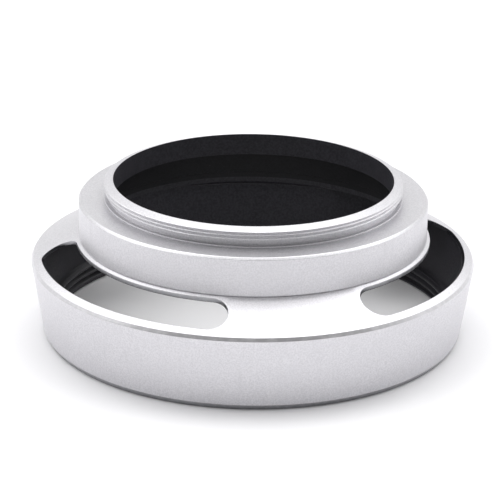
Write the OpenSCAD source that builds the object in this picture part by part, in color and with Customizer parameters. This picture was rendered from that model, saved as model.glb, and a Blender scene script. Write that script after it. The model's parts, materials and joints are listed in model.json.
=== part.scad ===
// Screw-in vented lens hood, standing on its front rim with the mount thread up.
// Three turned rings share the Z axis: mount_ring sits in collar, collar sits on
// vented_shell. The origin is the centre of the front rim's plane.

/* [Mount ring] */
// Outer diameter of the male mount thread
thread_d = 40.5; // [40:0.1:41]
// Diameter of the clear bore through the mount ring
clear_d = 38; // [37:0.1:38.4]
// Height of the mount ring above the collar
ring_h = 2.6; // [2.4:0.05:4]
// Drop of the ring's sloping top face, from the bore to the thread
top_drop = 0.43; // [0.1:0.01:0.6]
// Height of the plain neck between the thread and the foot
neck_h = 0.9; // [0.4:0.1:1]
// Depth of the neck below the thread's crests
neck_depth = 0.6; // [0.2:0.05:0.65]
// Height of the foot that rests on the collar
foot_h = 0.2; // [0.1:0.05:0.4]
// Depth of the spigot pressed into the collar
spigot_h = 0.45; // [0.3:0.05:0.6]
// Step in from the thread's crests to the spigot
spigot_step = 0.5; // [0.3:0.05:0.6]

/* [Collar] */
// Outer diameter of the collar
collar_d = 47.4; // [46:0.1:48]
// Height of the collar's top face above the front rim
collar_top_z = 18.75; // [17:0.05:24]
// Thickness of the collar's wall
collar_wall = 1.3; // [1:0.05:1.5]
// Thickness of the collar's top web
web_t = 0.75; // [0.65:0.05:1.5]
// Chamfer on the collar's top edge
collar_chamfer = 0.3; // [0.1:0.05:0.6]

/* [Vented shell] */
// Largest diameter, at the edge of the shoulder
shoulder_d = 60.5; // [60:0.1:62]
// Height of the seat that carries the collar
seat_z = 13.45; // [12:0.05:15]
// Slope of the shoulder below the horizontal
shoulder_angle = 25; // [20:0.5:28]
// Vertical thickness of the shoulder
shoulder_t = 0.6; // [0.4:0.05:0.8]
// Inward lean of the side wall, from shoulder to front rim
wall_angle = 9; // [5:0.5:10]
// Thickness of the side wall
wall_t = 1.2; // [1:0.05:1.25]
// Width of the bevel between the shoulder and the side wall
bevel_w = 0.3; // [0.1:0.01:0.5]
// Height of that bevel
bevel_h = 0.45; // [0.1:0.01:0.5]
// Height of the tenon that stands inside the collar
tenon_h = 1; // [0.5:0.1:2]
// Drop from the seat to the flat face under the tenon
hub_drop = 0.5; // [0.1:0.05:0.5]

/* [Vents] */
// Diameter across the vents' inner edges
vent_inner_d = 48.25; // [48:0.05:50]
// Diameter across the vents' outer edges
vent_outer_d = 57.85; // [56:0.05:57.9]
// Angle that each vent spans, end to end
vent_arc = 78; // [50:1:80]
// Angle of the bridge between the two front vents
front_bridge = 39; // [30:1:50]

/* [Front rim] */
// Diameter across the crests of the female front thread
front_thread_d = 54; // [53.5:0.1:54.4]
// Depth of the threaded band behind the front rim
front_thread_h = 3.15; // [1.5:0.05:4]
// Height of the runout cone between the threaded band and the wall
thread_runout_h = 0.35; // [0.2:0.05:0.6]
// Chamfer at the mouth of the front thread
mouth_chamfer = 0.35; // [0.1:0.05:0.4]
// Width of the bevel on the rim's outer edge
rim_bevel_w = 0.35; // [0.1:0.05:0.4]
// Height of that bevel
rim_bevel_h = 0.75; // [0.1:0.05:0.8]

/* [Hidden] */
$fn = 180;

thread_r = thread_d / 2;
clear_r = clear_d / 2;
neck_r = thread_r - neck_depth;
spigot_r = thread_r - spigot_step;
ring_top_z = collar_top_z + ring_h;
foot_top_z = collar_top_z + foot_h;
neck_top_z = foot_top_z + neck_h;

collar_r = collar_d / 2;
collar_bore_r = collar_r - collar_wall;
tenon_r = collar_r - collar_wall / 2;
tenon_top_z = seat_z + tenon_h;

shoulder_r = shoulder_d / 2;
bevel_r = shoulder_r - bevel_w;
bevel_top_z = shoulder_z(bevel_r);
bevel_low_z = bevel_top_z - bevel_h;
hub_face_z = seat_z - hub_drop;
hub_face_r = collar_r - (hub_face_z + shoulder_t - seat_z) / tan(shoulder_angle);
thread_top_z = front_thread_h + thread_runout_h;

vent_inner_r = vent_inner_d / 2;
vent_outer_r = vent_outer_d / 2;
vent_mid_r = (vent_inner_r + vent_outer_r) / 2;
vent_end_r = (vent_outer_r - vent_inner_r) / 2;
vent_sweep = vent_arc - 2 * asin(vent_end_r / vent_mid_r);
cut_margin = 0.5;
vent_low_z = shoulder_z(vent_outer_r) - shoulder_t - cut_margin;
vent_cut_h = seat_z + cut_margin - vent_low_z;
vent_centres = [
    270 - (front_bridge + vent_arc) / 2,
    270 + (front_bridge + vent_arc) / 2,
    90
];

// Height of the shoulder's top surface at radius r
function shoulder_z(r) = seat_z - (r - collar_r) * tan(shoulder_angle);

// Outer radius of the side wall at height z
function wall_r(z) = shoulder_r - (bevel_low_z - z) * tan(wall_angle);

// Corner where the inner wall meets the underside of the shoulder
inner_corner_r = wall_r(bevel_low_z) - wall_t;
inner_corner_z = shoulder_z(inner_corner_r) - shoulder_t;

// Ring that screws into the lens: foot and spigot below, male thread above
module mount_ring() {
    color("silver")
    rotate_extrude()
    polygon([
        [clear_r, collar_top_z - spigot_h],
        [spigot_r, collar_top_z - spigot_h],
        [spigot_r, collar_top_z],
        [thread_r, collar_top_z],
        [thread_r, foot_top_z],
        [neck_r, foot_top_z],
        [neck_r, neck_top_z],
        [thread_r, neck_top_z],
        [thread_r, ring_top_z - top_drop],
        [clear_r, ring_top_z]
    ]);
}

// Straight collar with a thin top web, rebated below to fit over the tenon
module collar() {
    color("silver")
    rotate_extrude()
    polygon([
        [spigot_r, collar_top_z - web_t],
        [collar_bore_r, collar_top_z - web_t],
        [collar_bore_r, tenon_top_z],
        [tenon_r, tenon_top_z],
        [tenon_r, seat_z],
        [collar_r, seat_z],
        [collar_r, collar_top_z - collar_chamfer],
        [collar_r - collar_chamfer, collar_top_z],
        [spigot_r, collar_top_z]
    ]);
}

// Solid of revolution of the shell, before its vents are milled
module shell_blank() {
    rotate_extrude()
    polygon([
        [front_thread_d / 2, mouth_chamfer],
        [front_thread_d / 2 + mouth_chamfer, 0],
        [wall_r(0) - rim_bevel_w, 0],
        [wall_r(rim_bevel_h), rim_bevel_h],
        [shoulder_r, bevel_low_z],
        [bevel_r, bevel_top_z],
        [collar_r, seat_z],
        [tenon_r, seat_z],
        [tenon_r, tenon_top_z],
        [collar_bore_r, tenon_top_z],
        [collar_bore_r, hub_face_z],
        [hub_face_r, hub_face_z],
        [inner_corner_r, inner_corner_z],
        [wall_r(thread_top_z) - wall_t, thread_top_z],
        [wall_r(front_thread_h) - wall_t, front_thread_h],
        [front_thread_d / 2, front_thread_h]
    ]);
}

// Cutter for one vent: an arc-shaped slot with full round ends, centred on +X
module vent_cutter() {
    translate([0, 0, vent_low_z])
    union() {
        rotate([0, 0, -vent_sweep / 2])
        rotate_extrude(angle = vent_sweep)
        translate([vent_inner_r, 0])
        square([2 * vent_end_r, vent_cut_h]);
        for (side = [-1, 1])
            rotate([0, 0, side * vent_sweep / 2])
            translate([vent_mid_r, 0, 0])
            cylinder(r = vent_end_r, h = vent_cut_h);
    }
}

// Flared shell: tenon, sloping shoulder with three vents, side wall, threaded rim
module vented_shell() {
    color("gainsboro")
    difference() {
        shell_blank();
        for (centre = vent_centres)
            rotate([0, 0, centre])
            vent_cutter();
    }
}

mount_ring();
collar();
vented_shell();
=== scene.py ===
"""A screw-in vented lens hood, standing on its front rim with the mount thread up.

Each of the three turned rings is one closed mesh. Its rows follow an outline, and its
columns go round the axis. On a thread the rows' radius varies from column to column,
and on the shoulder the rows bend round the vents.
"""
import json
import math

import bmesh
import bpy
import numpy as np
from mathutils import Matrix, Vector


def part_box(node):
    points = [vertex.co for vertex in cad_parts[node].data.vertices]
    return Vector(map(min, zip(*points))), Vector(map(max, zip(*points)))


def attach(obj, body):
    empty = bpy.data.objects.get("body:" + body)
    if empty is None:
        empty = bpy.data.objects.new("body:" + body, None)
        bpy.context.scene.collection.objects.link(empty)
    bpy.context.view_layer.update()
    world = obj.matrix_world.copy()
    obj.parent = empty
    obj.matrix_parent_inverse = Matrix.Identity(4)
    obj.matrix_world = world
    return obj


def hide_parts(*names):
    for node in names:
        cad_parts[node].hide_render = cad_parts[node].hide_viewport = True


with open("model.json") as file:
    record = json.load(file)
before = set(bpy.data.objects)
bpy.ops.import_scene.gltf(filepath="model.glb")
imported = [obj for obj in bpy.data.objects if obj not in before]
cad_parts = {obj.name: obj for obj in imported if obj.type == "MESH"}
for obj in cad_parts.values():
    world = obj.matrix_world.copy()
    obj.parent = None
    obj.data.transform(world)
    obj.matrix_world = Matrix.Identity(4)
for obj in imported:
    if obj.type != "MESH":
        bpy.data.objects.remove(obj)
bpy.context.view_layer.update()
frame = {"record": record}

MM = 0.001


def mount_dims(name):
    """The record's dimensions of one mount, in millimetres."""
    return next(m["dims"] for m in frame["record"]["mounts"] if m["name"] == name)


def corners_mm(node):
    """The lowest and highest corners of a CAD node, in millimetres."""
    low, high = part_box(node)
    return low / MM, high / MM


# ---------------------------------------------------------------------------
# Sizes in millimetres. The outer ones come from the frame. A thread's START is the
# height of a crest at angle 0.

ring_low, ring_high = corners_mm("mount_ring")
collar_low, collar_high = corners_mm("collar")
_, shell_high = corners_mm("vented_shell")

# Mount ring
THREAD_R = mount_dims("lens_thread")["r_mm"]
THREAD_PITCH = 0.5
THREAD_DEPTH = 0.24
THREAD_START = 0.07
RING_BASE_Z = ring_low.z
RING_TOP_Z = ring_high.z
CLEAR_R = 19.0
TOP_DROP = 0.43
TOP_SLOPE = TOP_DROP / (THREAD_R - CLEAR_R)
SPIGOT_R = 19.75
NECK_R = 19.65
FOOT_H = 0.2
NECK_H = 0.9

# Collar
COLLAR_R = collar_high.x
COLLAR_TOP_Z = collar_high.z
SEAT_Z = collar_low.z
WEB_T = 0.75
COLLAR_BORE_R = 22.4
COLLAR_CHAMFER = 0.3
TENON_R = 23.05
TENON_TOP_Z = shell_high.z

# Vented shell
SHOULDER_R = shell_high.x
SHOULDER_SLOPE = math.tan(math.radians(25))
SHOULDER_T = 0.6
BEVEL_W = 0.3
BEVEL_H = 0.45
WALL_LEAN = math.tan(math.radians(9))
WALL_T = 1.2
HUB_DROP = 0.5
HUB_FACE_Z = SEAT_Z - HUB_DROP
FRONT_R = mount_dims("front_thread")["r_mm"]
FRONT_PITCH = 1.0
FRONT_DEPTH = 0.5
FRONT_START = 0.27
FRONT_THREAD_H = 3.15
RUNOUT_H = 0.35
MOUTH_CHAMFER = 0.35
MOUTH_LAND = 0.55
RIM_BEVEL_W = 0.35
RIM_BEVEL_H = 0.75

# Both threads: the share of the pitch that is flat crest, and how steeply the ends fade
CREST_FLAT = 1 / 8
FADE_SLOPE = 8.0

# Vents
VENT_INNER_R = 24.125
VENT_OUTER_R = 28.925
VENT_ARC = math.radians(78)
FRONT_BRIDGE = math.radians(39)

# Paint. Of a vent's wall, BARE_SHARE stays bare where it faces away from the axis, and
# PAINT_GAP below the rounding where it faces the axis. PAINT_CHANGE is the outward part
# of the normal over which one becomes the other.
BARE_SHARE = 0.88
PAINT_GAP = 0.03
PAINT_CHANGE = (-0.45, 0.15)
# Height above the hub's face where plain black gives way to darker black: painted shade inside
# the collar
PAINTED_SHADE_START_H = 0.7

# Radii of the rounded edges
FINE_ROUND = 0.04
FOOT_ROUND = 0.05
MOUTH_ROUND = 0.05
RUNOUT_ROUND = 0.05
SPIGOT_ROUND = 0.06
BORE_ROUND = 0.06
CHAMFER_ROUND = 0.06
RIM_ROUND = 0.08
BEVEL_ROUND = 0.1
HUB_ROUND = 0.1
COLLAR_ROUND = 0.15
COLLAR_TOP_ROUND = 0.18
INNER_CORNER_ROUND = 0.25
VENT_TOP_ROUND = 0.08
VENT_LOW_ROUND = 0.05

# Mesh density: between columns, between rows, and along a rounded edge
COLUMN_STEP = math.radians(1)
ROW_STEP = 1.2
ARC_STEP = math.radians(18)
# Rows in one pitch of a thread, and rows across each half of a vented plate
THREAD_SAMPLES = 20
PLATE_ROWS = 4
# Columns over a quarter turn of a vent's round end, and rows over its rounded edge
CAP_STEPS = 12
VENT_ROUND_STEPS = 4
# Width of the support strip round a vent, and gaps between rows that would otherwise meet
SUPPORT = 0.05
BORE_GAP = 0.4
TOP_GAP = 0.03
THREAD_GAP = 0.01
NECK_GAP = 0.05
# Gaps between the vented plates and the rounded edges beside them
BEVEL_GAP = 0.2
HUB_GAP = 0.25
INNER_CORNER_GAP = 0.5
# Edges that turn by more than this are shaded sharp
SHARP_ANGLE = math.radians(70)

# Finishes, as material slots on every piece
# PAINTED_SHADE_BLACK is a darker black that paints the shade inside the collar, under its web
SILVER, BLACK, WORN, BARE_PAINTED_SHADE, PAINTED_SHADE_BLACK = range(5)
PAINTED = {BLACK, PAINTED_SHADE_BLACK}


def shoulder_z(r):
    """Height of the shoulder's top surface at radius r."""
    return SEAT_Z - (r - COLLAR_R) * SHOULDER_SLOPE


BEVEL_TOP_R = SHOULDER_R - BEVEL_W
BEVEL_TOP_Z = shoulder_z(BEVEL_TOP_R)
BEVEL_LOW_Z = BEVEL_TOP_Z - BEVEL_H


def wall_r(z):
    """Outer radius of the side wall at height z."""
    return SHOULDER_R - (BEVEL_LOW_Z - z) * WALL_LEAN


# ---------------------------------------------------------------------------
# Outlines: rows of (radius, height, finish, wear and painted highlight), from one corner to the
# next


def unit(vector):
    """The vector at length 1."""
    return vector / np.linalg.norm(vector)


def outline(corners, closed=True):
    """Rows through corners (r, z, fillet, finish). A corner's finish covers the stretch after it.

    A filleted corner becomes an arc with a support row on each side, which keeps the
    flat stretches flat under smooth shading. An unpainted arc is worn and carries a painted
    highlight.
    """
    rows = []
    count = len(corners)
    for i, (r, z, fillet, finish) in enumerate(corners):
        here = np.array((r, z), float)
        at_end = not closed and i in (0, count - 1)
        if at_end or not fillet:
            rows.append((r, z, finish, 0.0))
            continue
        before_finish = corners[i - 1][3]
        before = unit(np.array(corners[i - 1][:2]) - here)
        after = unit(np.array(corners[(i + 1) % count][:2]) - here)
        half = math.acos(np.clip(before @ after, -1, 1)) / 2
        reach = fillet / math.tan(half)
        centre = here + unit(before + after) * fillet / math.sin(half)
        start = here + before * reach - centre
        end = here + after * reach - centre
        first = math.atan2(start[1], start[0])
        sweep = (math.atan2(end[1], end[0]) - first + math.pi) % math.tau - math.pi
        steps = max(2, math.ceil(abs(sweep) / ARC_STEP))
        # An unpainted arc gets wear, which the silver also shows as a painted highlight along the
        # edge
        wear = 0.0 if PAINTED & {before_finish, finish} else 1.0
        support = fillet / 2
        rows.append((*(here + before * (reach + support)), before_finish, 0.0))
        for k in range(steps + 1):
            angle = first + sweep * k / steps
            point = centre + fillet * np.array((math.cos(angle), math.sin(angle)))
            rows.append((*point, before_finish if k < steps else finish, wear))
        rows.append((*(here + after * (reach + support)), finish, 0.0))
    return divided(rows, closed)


def divided(rows, closed):
    """The same rows with long stretches cut into even steps."""
    result = []
    for i, row in enumerate(rows):
        result.append(row)
        if i == len(rows) - 1 and not closed:
            break
        following = rows[(i + 1) % len(rows)]
        steps = math.ceil(math.dist(row[:2], following[:2]) / ROW_STEP)
        for k in range(1, steps):
            share = k / steps
            r = row[0] + (following[0] - row[0]) * share
            z = row[1] + (following[1] - row[1]) * share
            result.append((r, z, row[2], 0.0))
    return result


def helix_depth(z, angles, pitch, start):
    """Depth of a right-hand thread, from 0 on its crests to 1 in its roots."""
    phase = ((z - start) / pitch - angles / math.tau) % 1.0
    from_crest = 0.5 - np.abs(phase - 0.5)
    flank = np.clip((from_crest - CREST_FLAT / 2) / (0.5 - CREST_FLAT), 0, 1)
    rounded = flank * flank * (3 - 2 * flank)
    return (flank + rounded) / 2


# ---------------------------------------------------------------------------
# Meshes


class Shape:
    """Vertices and faces of one closed mesh, gathered in millimetres."""

    def __init__(self):
        self.points = []
        self.wear = []
        self.faces = []
        self.finishes = []

    def add(self, x, y, z, wear=0.0):
        """Adds a row of points and returns their indices."""
        first = len(self.points)
        x, y, z = np.broadcast_arrays(x, y, z)
        self.points += [tuple(p) for p in np.stack((x, y, z), -1)]
        self.wear += list(np.broadcast_to(wear, x.shape))
        return np.arange(first, len(self.points))

    def add_turned(self, r, z, angles, wear=0.0):
        """Adds a full-circle row at radius r and height z."""
        return self.add(r * np.cos(angles), r * np.sin(angles), z, wear)

    def join(self, one, two, finish):
        """Quads between two closed rows of indices, without the ones that collapse."""
        for a, b, c, d in zip(one, np.roll(one, -1), np.roll(two, -1), two):
            corners = list(dict.fromkeys((int(a), int(b), int(c), int(d))))
            if len(corners) > 2:
                self.faces.append(corners)
                self.finishes.append(finish)

    def make_piece(self, name, materials, nodes):
        """Makes the Blender object, which stands for the given CAD nodes."""
        mesh = bpy.data.meshes.new(name)
        mesh.from_pydata([Vector(p) * MM for p in self.points], [], self.faces)
        mesh.polygons.foreach_set("material_index", self.finishes)
        mesh.polygons.foreach_set("use_smooth", [True] * len(self.faces))
        wear = mesh.attributes.new("wear", "FLOAT", "POINT")
        wear.data.foreach_set("value", self.wear)
        for material in materials:
            mesh.materials.append(material)
        shaped = bmesh.new()
        shaped.from_mesh(mesh)
        loose = [v for v in shaped.verts if not v.link_faces]
        bmesh.ops.delete(shaped, geom=loose, context="VERTS")
        bmesh.ops.recalc_face_normals(shaped, faces=shaped.faces)
        shaped.to_mesh(mesh)
        shaped.free()
        mesh.set_sharp_from_angle(angle=SHARP_ANGLE)
        piece = bpy.data.objects.new(name, mesh)
        bpy.context.scene.collection.objects.link(piece)
        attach(piece, "root")
        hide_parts(*nodes)


def even_angles():
    """The angles of a full circle's columns."""
    return np.arange(0, math.tau - COLUMN_STEP / 2, COLUMN_STEP)


def turn(shape, rows, angles):
    """Adds outline rows to a shape; returns [(indices, finish of the stretch after it)]."""
    return [
        (shape.add_turned(r, z, angles, wear), finish) for r, z, finish, wear in rows
    ]


def join_rows(shape, rows, closed=False):
    """Joins each row to the next, and the last to the first if closed."""
    followers = rows[1:] + rows[:1] if closed else rows[1:]
    for (one, finish), (two, _) in zip(rows, followers):
        shape.join(one, two, finish)


def male_thread_rows(shape, angles, low_z, high_z):
    """Rows of the mount thread, cut back where it fades in below and by the sloping top."""
    rows = []
    count = math.ceil((high_z - low_z) / THREAD_PITCH * THREAD_SAMPLES)
    for z in np.linspace(low_z, high_z, count + 1):
        depth = helix_depth(z, angles, THREAD_PITCH, THREAD_START)
        below = NECK_R + NECK_GAP + (z - low_z) * FADE_SLOPE
        above = THREAD_R - (z - (RING_TOP_Z - TOP_DROP)) / TOP_SLOPE
        r = np.minimum(THREAD_R - THREAD_DEPTH * depth, min(below, above))
        rows.append((shape.add_turned(r, z, angles), SILVER))
    return rows


def make_mount_ring(materials):
    """Foot and spigot below, plain neck, male thread, and a top that slopes outward."""
    shape = Shape()
    angles = even_angles()
    neck_low_z = COLLAR_TOP_Z + FOOT_H
    thread_low_z = neck_low_z + NECK_H
    root_r = THREAD_R - THREAD_DEPTH
    thread_high_z = RING_TOP_Z - TOP_DROP + THREAD_DEPTH * TOP_SLOPE
    lower = outline(
        [
            (CLEAR_R, RING_BASE_Z + BORE_GAP, 0, BLACK),
            (CLEAR_R, RING_BASE_Z, 0, BLACK),
            (SPIGOT_R, RING_BASE_Z, SPIGOT_ROUND, SILVER),
            (SPIGOT_R, COLLAR_TOP_Z, 0, SILVER),
            (THREAD_R, COLLAR_TOP_Z, FOOT_ROUND, SILVER),
            (THREAD_R, neck_low_z, FOOT_ROUND, SILVER),
            (NECK_R, neck_low_z, FINE_ROUND, SILVER),
            (NECK_R, thread_low_z, 0, SILVER),
        ],
        closed=False,
    )
    upper = outline(
        [
            (root_r - TOP_GAP, thread_high_z + TOP_GAP * TOP_SLOPE, 0, SILVER),
            (CLEAR_R, RING_TOP_Z, BORE_ROUND, BLACK),
            (CLEAR_R, RING_BASE_Z + 2 * BORE_GAP, 0, BLACK),
        ],
        closed=False,
    )
    rows = turn(shape, lower, angles)
    rows += male_thread_rows(shape, angles, thread_low_z, thread_high_z)
    rows += turn(shape, upper, angles)
    join_rows(shape, rows, closed=True)
    shape.make_piece("mount_ring_turned", materials, ["mount_ring"])


def make_collar(materials):
    """Straight collar with a thin top web, rebated below to fit over the tenon."""
    shape = Shape()
    web_low_z = COLLAR_TOP_Z - WEB_T
    chamfer_z = COLLAR_TOP_Z - COLLAR_CHAMFER
    rows = outline(
        [
            # The web's underside and the collar's bore are darker black: painted shade under the
            # web
            (SPIGOT_R, web_low_z, SPIGOT_ROUND, PAINTED_SHADE_BLACK),
            (COLLAR_BORE_R, web_low_z, COLLAR_ROUND, PAINTED_SHADE_BLACK),
            (COLLAR_BORE_R, TENON_TOP_Z, FINE_ROUND, BLACK),
            (TENON_R, TENON_TOP_Z, 0, BLACK),
            (TENON_R, SEAT_Z, 0, SILVER),
            (COLLAR_R, SEAT_Z, COLLAR_ROUND, SILVER),
            (COLLAR_R, chamfer_z, CHAMFER_ROUND, SILVER),
            (COLLAR_R - COLLAR_CHAMFER, COLLAR_TOP_Z, COLLAR_TOP_ROUND, SILVER),
            (SPIGOT_R, COLLAR_TOP_Z, 0, BLACK),
        ]
    )
    join_rows(shape, turn(shape, rows, even_angles()), closed=True)
    shape.make_piece("collar_turned", materials, ["collar"])


# ---------------------------------------------------------------------------
# The vented shell


def polar(r, angle):
    """Points (x, y) at radius r."""
    return np.stack((r * np.cos(angle), r * np.sin(angle)), -1)


class Vents:
    """The columns of the shell's mesh, and the contours of its vents along them.

    A vent is an arc-shaped slot with full round ends. For each column that crosses one,
    its contour holds an inner and an outer point, with normals that point into metal.
    """

    def __init__(self):
        self.mid_r = (VENT_INNER_R + VENT_OUTER_R) / 2
        self.end_r = (VENT_OUTER_R - VENT_INNER_R) / 2
        self.half_sweep = VENT_ARC / 2 - math.asin(self.end_r / self.mid_r)
        side = (FRONT_BRIDGE + VENT_ARC) / 2
        front = math.radians(270)
        centres = [math.radians(90), front - side, front + side]
        self.angles = []
        self.spans = []
        self.contours = []
        for i, centre in enumerate(centres):
            self.add_vent(centre)
            following = centres[(i + 1) % len(centres)]
            gap = (following - centre) % math.tau - VENT_ARC
            steps = round(gap / COLUMN_STEP)
            start = centre + VENT_ARC / 2
            self.angles += [start + gap * k / steps for k in range(1, steps)]
        self.angles = np.array(self.angles)
        # Columns where the plate's two halves meet, which are all but those inside a vent
        self.closed = np.full(len(self.angles), True)
        for first, last in self.spans:
            self.closed[first + 1 : last] = False

    def add_vent(self, centre):
        """Adds one vent's columns, from its one extreme to the other."""
        turns = [math.pi / 2 * k / CAP_STEPS for k in range(CAP_STEPS + 1)]
        ends = [math.asin(self.end_r / self.mid_r * math.sin(t)) for t in turns]
        count = round(2 * self.half_sweep / COLUMN_STEP)
        offsets = [-self.half_sweep - end for end in reversed(ends)]
        offsets += list(np.linspace(-self.half_sweep, self.half_sweep, count + 1)[1:-1])
        offsets += [self.half_sweep + end for end in ends]
        first = len(self.angles)
        self.spans.append((first, first + len(offsets) - 1))
        self.contours.append([self.contour(centre, offset) for offset in offsets])
        self.angles += [centre + offset for offset in offsets]

    def contour(self, centre, offset):
        """Inner point, its normal, outer point and its normal on one column's ray."""
        radial = polar(1.0, centre + offset)
        if abs(offset) <= self.half_sweep:
            return VENT_INNER_R * radial, -radial, VENT_OUTER_R * radial, radial
        past = abs(offset) - self.half_sweep
        end = centre + math.copysign(self.half_sweep, offset)
        end_centre = polar(self.mid_r, end)
        along = self.mid_r * math.cos(past)
        across = self.mid_r * math.sin(past)
        reach = math.sqrt(max(self.end_r**2 - across**2, 0.0))
        inner = (along - reach) * radial
        outer = (along + reach) * radial
        return inner, unit(inner - end_centre), outer, unit(outer - end_centre)

    def edges(self, offset):
        """Points on every column where the plate's inner and outer halves end."""
        inner = polar(self.mid_r, self.angles)
        outer = inner.copy()
        for (first, last), contour in zip(self.spans, self.contours):
            for column, (a, a_normal, b, b_normal) in zip(range(first, last + 1), contour):
                inner[column] = a + a_normal * offset
                outer[column] = b + b_normal * offset
        return inner, outer

    def loops(self):
        """For each vent: (column, is outer, point, normal) once round its contour."""
        for (first, last), contour in zip(self.spans, self.contours):
            columns = range(first, last + 1)
            there = [(c, False, p[0], p[1]) for c, p in zip(columns, contour)]
            back = [(c, True, p[2], p[3]) for c, p in zip(columns, contour)][1:-1]
            yield there + back[::-1]


def add_plate(shape, vents, inner_r, outer_r, drop, edge_offset, finish):
    """One face of the shoulder, with its vents left open.

    Returns its innermost row, its outermost row, and the vents' edges: for every column,
    the index where the inner half ends and the index where the outer half starts.
    """
    inner_edge, outer_edge = vents.edges(edge_offset)
    start = polar(inner_r, vents.angles)
    stop = polar(outer_r, vents.angles)
    halves = []
    for near, far in ((start, inner_edge), (outer_edge, stop)):
        rows = []
        for k in range(PLATE_ROWS + 1):
            xy = near + (far - near) * k / PLATE_ROWS
            z = shoulder_z(np.hypot(xy[:, 0], xy[:, 1])) - drop
            rows.append(shape.add(xy[:, 0], xy[:, 1], z))
        halves.append(rows)
    inner_rows, outer_rows = halves
    outer_rows[0] = np.where(vents.closed, inner_rows[-1], outer_rows[0])
    for rows in (inner_rows, outer_rows):
        for one, two in zip(rows, rows[1:]):
            shape.join(one, two, finish)
    return inner_rows[0], outer_rows[-1], (inner_rows[-1], outer_rows[0])


def bare_depth(points, normals):
    """How far down a vent's wall the paint starts: near the top where it faces the axis."""
    outward = np.sum(points * normals, -1) / np.linalg.norm(points, axis=-1)
    least_share = VENT_TOP_ROUND / SHOULDER_T + PAINT_GAP
    return np.interp(outward, PAINT_CHANGE, (BARE_SHARE, least_share)) * SHOULDER_T


def rounded_edge(radius):
    """(offset into metal, distance from the face) down a vent's rounded edge."""
    turns = np.linspace(0, math.pi / 2, VENT_ROUND_STEPS + 1)
    return [(radius * (1 - math.sin(t)), radius * (1 - math.cos(t))) for t in turns]


def add_vent_walls(shape, vents, top_edges, low_edges):
    """The walls of the vents, rounded above and below: bare metal darkened as painted shade, then
    paint.
    """
    for loop in vents.loops():
        columns, outer, points, normals = (np.array(part) for part in zip(*loop))
        *top_round, (top_offset, top_depth) = rounded_edge(VENT_TOP_ROUND)
        levels = [(offset, -depth, SILVER) for offset, depth in top_round]
        # Below the top rounding the wall takes the darker bare-metal tone: painted shade on the
        # vent's wall
        levels.append((top_offset, -top_depth, BARE_PAINTED_SHADE))
        levels.append((top_offset, -bare_depth(points, normals), BLACK))
        low_round = reversed(rounded_edge(VENT_LOW_ROUND))
        levels += [(offset, depth - SHOULDER_T, BLACK) for offset, depth in low_round]
        rows = [(np.where(outer, top_edges[1][columns], top_edges[0][columns]), SILVER)]
        for offset, height, finish in levels:
            xy = points + normals * offset
            z = shoulder_z(np.hypot(xy[:, 0], xy[:, 1])) + height
            rows.append((shape.add(xy[:, 0], xy[:, 1], z), finish))
        last = np.where(outer, low_edges[1][columns], low_edges[0][columns])
        rows.append((last, BLACK))
        join_rows(shape, rows)


def front_thread_rows(shape, angles):
    """Rows of the female thread, which fades in at the mouth's land and out at its end."""
    rows = []
    wall = wall_r(FRONT_THREAD_H) - WALL_T
    count = math.ceil((FRONT_THREAD_H - MOUTH_LAND) / FRONT_PITCH * THREAD_SAMPLES)
    for z in np.linspace(MOUTH_LAND, FRONT_THREAD_H, count + 1):
        depth = helix_depth(z, angles, FRONT_PITCH, FRONT_START)
        start = (z - MOUTH_LAND) * FADE_SLOPE
        end = wall - (FRONT_THREAD_H - z) * FADE_SLOPE
        r = np.maximum(FRONT_R + np.minimum(FRONT_DEPTH * depth, start), end)
        # Crests get wear, which the black shows as rubbed paint and a painted highlight
        rows.append((shape.add_turned(r, z, angles, 1.0 - depth), BLACK))
    return rows


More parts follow.
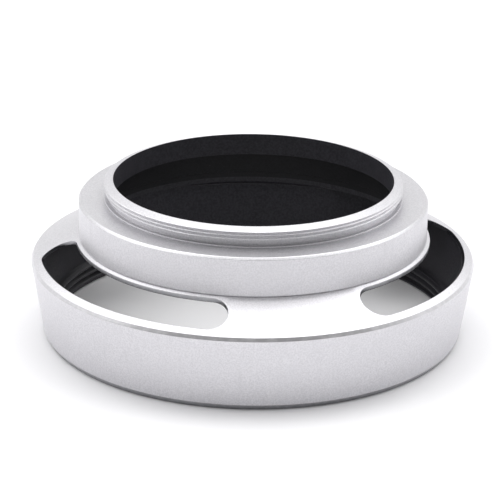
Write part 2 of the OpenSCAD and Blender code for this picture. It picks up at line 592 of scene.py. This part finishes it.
def make_vented_shell(materials):
    """Tenon, sloping shoulder with three vents, flared wall, and threaded front rim."""
    shape = Shape()
    vents = Vents()
    angles = vents.angles
    thread_top_z = FRONT_THREAD_H + RUNOUT_H
    thread_wall_r = wall_r(FRONT_THREAD_H) - WALL_T
    inner_corner_r = wall_r(BEVEL_LOW_Z) - WALL_T
    inner_corner_z = shoulder_z(inner_corner_r) - SHOULDER_T
    hub_face_r = COLLAR_R - (HUB_FACE_Z + SHOULDER_T - SEAT_Z) / SHOULDER_SLOPE
    top_stop_r = BEVEL_TOP_R - BEVEL_GAP
    low_start_r = hub_face_r + HUB_GAP
    low_stop_r = inner_corner_r - INNER_CORNER_GAP

    top_offset = VENT_TOP_ROUND + SUPPORT
    low_offset = VENT_LOW_ROUND + SUPPORT
    top_start, top_stop, top_edges = add_plate(
        shape, vents, COLLAR_R, top_stop_r, 0, top_offset, SILVER
    )
    low_start, low_stop, low_edges = add_plate(
        shape, vents, low_start_r, low_stop_r, SHOULDER_T, low_offset, BLACK
    )
    add_vent_walls(shape, vents, top_edges, low_edges)

    outside = outline(
        [
            (top_stop_r, shoulder_z(top_stop_r), 0, SILVER),
            (BEVEL_TOP_R, BEVEL_TOP_Z, BEVEL_ROUND, WORN),
            (SHOULDER_R, BEVEL_LOW_Z, BEVEL_ROUND, SILVER),
            # The rim's bevel takes the darker bare-metal tone: painted shade where the hood meets
            # the floor
            (wall_r(RIM_BEVEL_H), RIM_BEVEL_H, RIM_ROUND, BARE_PAINTED_SHADE),
            (wall_r(0) - RIM_BEVEL_W, 0, RIM_ROUND, SILVER),
            (FRONT_R + MOUTH_CHAMFER, 0, MOUTH_ROUND, BLACK),
            (FRONT_R, MOUTH_CHAMFER, MOUTH_ROUND, BLACK),
            (FRONT_R, MOUTH_LAND - THREAD_GAP, 0, BLACK),
        ],
        closed=False,
    )[1:]
    inside = outline(
        [
            (thread_wall_r + THREAD_GAP, FRONT_THREAD_H + 2 * THREAD_GAP, 0, BLACK),
            (wall_r(thread_top_z) - WALL_T, thread_top_z, RUNOUT_ROUND, BLACK),
            (inner_corner_r, inner_corner_z, INNER_CORNER_ROUND, BLACK),
            (low_stop_r, shoulder_z(low_stop_r) - SHOULDER_T, 0, BLACK),
        ],
        closed=False,
    )[:-1]
    hub = outline(
        [
            (low_start_r, shoulder_z(low_start_r) - SHOULDER_T, 0, BLACK),
            (hub_face_r, HUB_FACE_Z, HUB_ROUND, BLACK),
            (COLLAR_BORE_R, HUB_FACE_Z, 0, BLACK),
            # From here up, the tenon's bore is darker black: painted shade inside the collar
            (COLLAR_BORE_R, HUB_FACE_Z + PAINTED_SHADE_START_H, 0, PAINTED_SHADE_BLACK),
            (COLLAR_BORE_R, TENON_TOP_Z, FINE_ROUND, SILVER),
            (TENON_R, TENON_TOP_Z, FINE_ROUND, SILVER),
            (TENON_R, SEAT_Z, 0, SILVER),
            (COLLAR_R, SEAT_Z, 0, SILVER),
        ],
        closed=False,
    )[1:-1]

    rows = [(top_stop, SILVER)]
    rows += turn(shape, outside, angles)
    rows += front_thread_rows(shape, angles)
    rows += turn(shape, inside, angles)
    rows.append((low_stop, BLACK))
    join_rows(shape, rows)
    rows = [(low_start, BLACK)]
    rows += turn(shape, hub, angles)
    rows.append((top_start, SILVER))
    join_rows(shape, rows)
    shape.make_piece("vented_shell_turned", materials, ["vented_shell"])


# ---------------------------------------------------------------------------
# Materials


class Nodes:
    """Short calls for building a node tree."""

    def __init__(self, tree):
        self.tree = tree

    def make(self, kind, inputs=None, **settings):
        """A new node with its inputs and settings."""
        node = self.tree.nodes.new(kind)
        for name, value in settings.items():
            setattr(node, name, value)
        for name, value in (inputs or {}).items():
            self.feed(node.inputs[name], value)
        return node

    def feed(self, socket, value):
        """Sets a socket, or links it when the value is another node's output."""
        if isinstance(value, bpy.types.NodeSocket):
            self.tree.links.new(value, socket)
        else:
            socket.default_value = value

    def ramp(self, value, low, high, to_low=0.0, to_high=1.0):
        """Maps a value smoothly from low..high to to_low..to_high."""
        inputs = {
            "Value": value,
            "From Min": low,
            "From Max": high,
            "To Min": to_low,
            "To Max": to_high,
        }
        node = self.make("ShaderNodeMapRange", inputs, interpolation_type="SMOOTHSTEP")
        return node.outputs["Result"]

    def math(self, operation, one, two):
        """The result of a Math node."""
        node = self.make("ShaderNodeMath", operation=operation)
        self.feed(node.inputs[0], one)
        self.feed(node.inputs[1], two)
        return node.outputs[0]

    def mix(self, factor, one, two):
        """Mixes two colours, through the sockets that a Mix node has for colours."""
        node = self.make("ShaderNodeMix", data_type="RGBA")
        for index, value in ((0, factor), (6, one), (7, two)):
            self.feed(node.inputs[index], value)
        return node.outputs[2]

    def tint(self, tone, mask, strength, colour):
        """Mixes a plain colour into a tone where the mask is 1, at the given strength."""
        return self.mix(self.math("MULTIPLY", mask, strength), tone, (*colour, 1))

    def lower(self, value, mask, amount):
        """The value, less the amount where the mask is 1."""
        return self.math("SUBTRACT", value, self.math("MULTIPLY", mask, amount))


def noise(nodes, place, size_mm, detail=2.0, roughness=0.5):
    """Noise with features of about size_mm."""
    inputs = {
        "Vector": place,
        "Scale": 1 / (size_mm * MM),
        "Detail": detail,
        "Roughness": roughness,
    }
    return nodes.make("ShaderNodeTexNoise", inputs).outputs["Fac"]


# A speck fades out between these parts of its radius
SPECK_FADE = (0.6, 1.2)


def specks(nodes, place, spacing_mm, radius_mm, share):
    """Sparse round specks, for a share of the cells: 1 inside a speck and 0 outside."""
    inputs = {"Vector": place, "Scale": 1 / (spacing_mm * MM)}
    cells = nodes.make("ShaderNodeTexVoronoi", inputs)
    start, end = (radius_mm / spacing_mm * part for part in SPECK_FADE)
    near = nodes.ramp(cells.outputs["Distance"], start, end, 1.0, 0.0)
    pick = nodes.make("ShaderNodeSeparateColor", {"Color": cells.outputs["Color"]})
    chosen = nodes.math("LESS_THAN", pick.outputs["Red"], share)
    return nodes.math("MULTIPLY", near, chosen)


def wear_and_highlight_mask(nodes):
    """The mesh's wear and painted highlight: 1 on worn edges and on the front thread's crests."""
    return nodes.make("ShaderNodeAttribute", attribute_name="wear").outputs["Fac"]


def new_material(name):
    """An empty material with its node helper, Principled shader and object coordinates."""
    material = bpy.data.materials.new(name)
    material.use_nodes = True
    nodes = Nodes(material.node_tree)
    shader = material.node_tree.nodes["Principled BSDF"]
    place = nodes.make("ShaderNodeTexCoord").outputs["Object"]
    return material, nodes, shader, place


def set_surface(nodes, shader, tone, rough, height, depth_mm, metallic):
    """Feeds the shader its colour and roughness, and a bump of about depth_mm."""
    shader.inputs["Metallic"].default_value = metallic
    nodes.feed(shader.inputs["Base Color"], tone)
    nodes.feed(shader.inputs["Roughness"], rough)
    inputs = {"Height": height, "Distance": depth_mm * MM, "Strength": 1.0}
    bump = nodes.make("ShaderNodeBump", inputs)
    nodes.feed(shader.inputs["Normal"], bump.outputs["Normal"])


def silver_material():
    """Bead-blasted, anodised aluminium: fine grain, faint streaks, sparse dark specks."""
    material, nodes, shader, place = new_material("satin_silver")
    grain = noise(nodes, place, size_mm=0.2, detail=3.0)
    clouds = nodes.ramp(noise(nodes, place, size_mm=3.0, detail=3.0), 0.35, 0.75)
    upright = {"Vector": place, "Scale": (1.0, 1.0, 0.12)}
    stretched = nodes.make("ShaderNodeMapping", upright).outputs["Vector"]
    streaks = nodes.ramp(noise(nodes, stretched, size_mm=0.9, detail=3.0), 0.55, 0.8)
    spots = specks(nodes, place, spacing_mm=0.9, radius_mm=0.055, share=0.22)
    # Worn edges get a lighter tint: partly worn anodising, partly a painted highlight along them
    patches = nodes.ramp(grain, 0.35, 0.65, to_low=0.3)
    worn_and_highlit = nodes.math("MULTIPLY", wear_and_highlight_mask(nodes), patches)
    dark, light = (0.61, 0.604, 0.626, 1), (0.74, 0.733, 0.757, 1)
    tone = nodes.mix(nodes.ramp(grain, 0.3, 0.7), dark, light)
    tone = nodes.tint(tone, clouds, strength=0.35, colour=(0.65, 0.644, 0.666))
    tone = nodes.tint(tone, streaks, strength=0.35, colour=(0.57, 0.564, 0.584))
    tone = nodes.tint(tone, spots, strength=0.55, colour=(0.2, 0.195, 0.2))
    tone = nodes.tint(tone, worn_and_highlit, strength=0.5, colour=(0.69, 0.683, 0.705))
    rough = nodes.ramp(grain, 0.25, 0.75, to_low=0.4, to_high=0.48)
    rough = nodes.lower(rough, worn_and_highlit, amount=0.1)
    height = nodes.math("ADD", grain, noise(nodes, place, size_mm=0.35))
    set_surface(nodes, shader, tone, rough, height, depth_mm=0.004, metallic=1.0)
    return material


def black_material(name, dark, light):
    """Matt black paint over the same blasted surface; rubbed thread crests carry a painted
    highlight.
    """
    material, nodes, shader, place = new_material(name)
    grain = noise(nodes, place, size_mm=0.3, detail=3.0)
    dust = specks(nodes, place, spacing_mm=0.7, radius_mm=0.05, share=0.12)
    # The thread's crests are lighter: rubbed paint and a painted highlight
    crest_rub_and_highlight = nodes.ramp(wear_and_highlight_mask(nodes), 0.55, 1.0)
    tone = nodes.mix(nodes.ramp(grain, 0.3, 0.7), (*dark, 1), (*light, 1))
    tone = nodes.tint(tone, dust, strength=0.5, colour=(0.1, 0.1, 0.1))
    tone = nodes.tint(tone, crest_rub_and_highlight, strength=0.45, colour=(0.08, 0.079, 0.086))
    rough = nodes.ramp(grain, 0.3, 0.7, to_low=0.38, to_high=0.56)
    rough = nodes.lower(rough, crest_rub_and_highlight, amount=0.12)
    height = nodes.math("ADD", grain, noise(nodes, place, size_mm=0.4))
    set_surface(nodes, shader, tone, rough, height, depth_mm=0.014, metallic=0.0)
    shader.inputs["Specular IOR Level"].default_value = 0.3
    return material


def smooth_metal_material(name, dark, light):
    """Metal without its blasted finish: smoother and a little patchy."""
    material, nodes, shader, place = new_material(name)
    patches = noise(nodes, place, size_mm=0.8, detail=3.0, roughness=0.6)
    tone = nodes.mix(nodes.ramp(patches, 0.42, 0.66), (*dark, 1), (*light, 1))
    rough = nodes.ramp(patches, 0.4, 0.7, to_low=0.32, to_high=0.4)
    height = noise(nodes, place, size_mm=0.2)
    set_surface(nodes, shader, tone, rough, height, depth_mm=0.004, metallic=1.0)
    return material


def floor_material():
    """A plain pale studio sweep."""
    material, nodes, shader, place = new_material("pale_floor")
    cloud = noise(nodes, place, size_mm=60.0)
    tone = nodes.mix(cloud, (0.953, 0.95, 0.965, 1), (0.973, 0.97, 0.985, 1))
    nodes.feed(shader.inputs["Base Color"], tone)
    shader.inputs["Roughness"].default_value = 0.7
    shader.inputs["Specular IOR Level"].default_value = 0.2
    return material


# ---------------------------------------------------------------------------
# Studio

# Camera: angles in degrees, distances in millimetres. It looks at a point that lies
# VIEW_SIDE to the right of the axis and VIEW_HEIGHT above the floor.
VIEW_AZIMUTH = -12.9
VIEW_ELEVATION = 21.03
VIEW_DISTANCE = 301.4
VIEW_ROLL = 0.705
VIEW_SIDE = -0.37
VIEW_HEIGHT = 10.77
LENS = 158.3
SENSOR = 36.0

# Softboxes: (azimuth from the camera's, elevation, width, height, radiance), in metres
SOFTBOX_DISTANCE = 2.5
SOFTBOXES = {
    "top_softbox": (0, 90, 1.6, 1.6, 1.55),
    "left_softbox": (-108, 54, 2.4, 2.0, 1.52),
    "right_softbox": (118, 54, 1.9, 2.0, 1.72),
}

# Room light: its strength behind the hood and on the camera's side, the elevation of
# its dimmest place, and how far it turns towards there from the one to the other
ROOM_BRIGHT = 0.92
ROOM_DIM = 0.3
DIM_ELEVATION = -20
ROOM_CHANGE = (-0.45, 0.35)

FLOOR_HALF = 3.0


def towards(azimuth, elevation):
    """Unit vector towards a place: azimuth 0 is -Y, the side of the front bridge."""
    a, e = math.radians(azimuth), math.radians(elevation)
    return Vector((math.sin(a) * math.cos(e), -math.cos(a) * math.cos(e), math.sin(e)))


def aim(thing, place, target, roll=0.0):
    """Puts a thing at a place, looking at the target, rolled about its own axis."""
    look = (target - place).to_track_quat("-Z", "Y")
    turned = look.to_matrix().to_4x4() @ Matrix.Rotation(math.radians(roll), 4, "Z")
    thing.matrix_world = Matrix.Translation(place) @ turned


def make_camera():
    """The scene's camera, without depth of field or shift."""
    data = bpy.data.cameras.new("camera")
    data.lens = LENS
    data.sensor_width = SENSOR
    data.clip_start = 0.01
    data.clip_end = 10.0
    camera = bpy.data.objects.new("camera", data)
    bpy.context.scene.collection.objects.link(camera)
    side = towards(VIEW_AZIMUTH + 90, 0) * VIEW_SIDE * MM
    target = side + Vector((0, 0, VIEW_HEIGHT * MM))
    place = target + towards(VIEW_AZIMUTH, VIEW_ELEVATION) * VIEW_DISTANCE * MM
    aim(camera, place, target, VIEW_ROLL)
    bpy.context.scene.camera = camera


def make_softbox(name, azimuth, elevation, width, height, radiance):
    """A rectangular area light that faces the hood; radiance is how bright it looks."""
    data = bpy.data.lights.new(name, "AREA")
    data.shape = "RECTANGLE"
    data.size = width
    data.size_y = height
    data.energy = radiance * math.pi * width * height
    light = bpy.data.objects.new(name, data)
    bpy.context.scene.collection.objects.link(light)
    target = Vector((0, 0, VIEW_HEIGHT * MM))
    direction = towards(VIEW_AZIMUTH + azimuth, elevation)
    aim(light, target + direction * SOFTBOX_DISTANCE, target)


def make_world():
    """A pale room behind the hood, dim on the camera's side."""
    world = bpy.data.worlds.new("studio")
    world.use_nodes = True
    bpy.context.scene.world = world
    nodes = Nodes(world.node_tree)
    background = world.node_tree.nodes["Background"]
    place = nodes.make("ShaderNodeTexCoord").outputs["Generated"]
    facing = nodes.make("ShaderNodeVectorMath", operation="DOT_PRODUCT")
    nodes.feed(facing.inputs[0], place)
    nodes.feed(facing.inputs[1], towards(VIEW_AZIMUTH, DIM_ELEVATION))
    level = nodes.ramp(facing.outputs["Value"], *ROOM_CHANGE, ROOM_BRIGHT, ROOM_DIM)
    nodes.feed(background.inputs["Strength"], level)
    background.inputs["Color"].default_value = (1, 1, 1, 1)


def make_floor():
    """The floor that the hood stands on."""
    mesh = bpy.data.meshes.new("floor")
    corners = [(-1, -1), (1, -1), (1, 1), (-1, 1)]
    points = [(x * FLOOR_HALF, y * FLOOR_HALF, 0) for x, y in corners]
    mesh.from_pydata(points, [], [(0, 1, 2, 3)])
    mesh.materials.append(floor_material())
    floor = bpy.data.objects.new("floor", mesh)
    bpy.context.scene.collection.objects.link(floor)


make_camera()
# One finish for each material slot, in the slots' order
finishes = [
    silver_material(),
    black_material("thin_black", (0.02, 0.0192, 0.024), (0.038, 0.037, 0.0445)),
    smooth_metal_material("worn_edge", (0.7, 0.693, 0.717), (0.77, 0.762, 0.787)),
    # Darker bare metal: painted shade on the rim's bevel and on the vents' walls
    smooth_metal_material("bare_metal", (0.4, 0.4, 0.42), (0.47, 0.47, 0.49)),
    # A darker black for the painted shade inside the collar
    black_material("deep_black", (0.003, 0.0029, 0.0045), (0.008, 0.0078, 0.0105)),
]
make_mount_ring(finishes)
make_collar(finishes)
make_vented_shell(finishes)
make_world()
for name, settings in SOFTBOXES.items():
    make_softbox(name, *settings)
make_floor()
bpy.context.scene.view_settings.view_transform = "Standard"
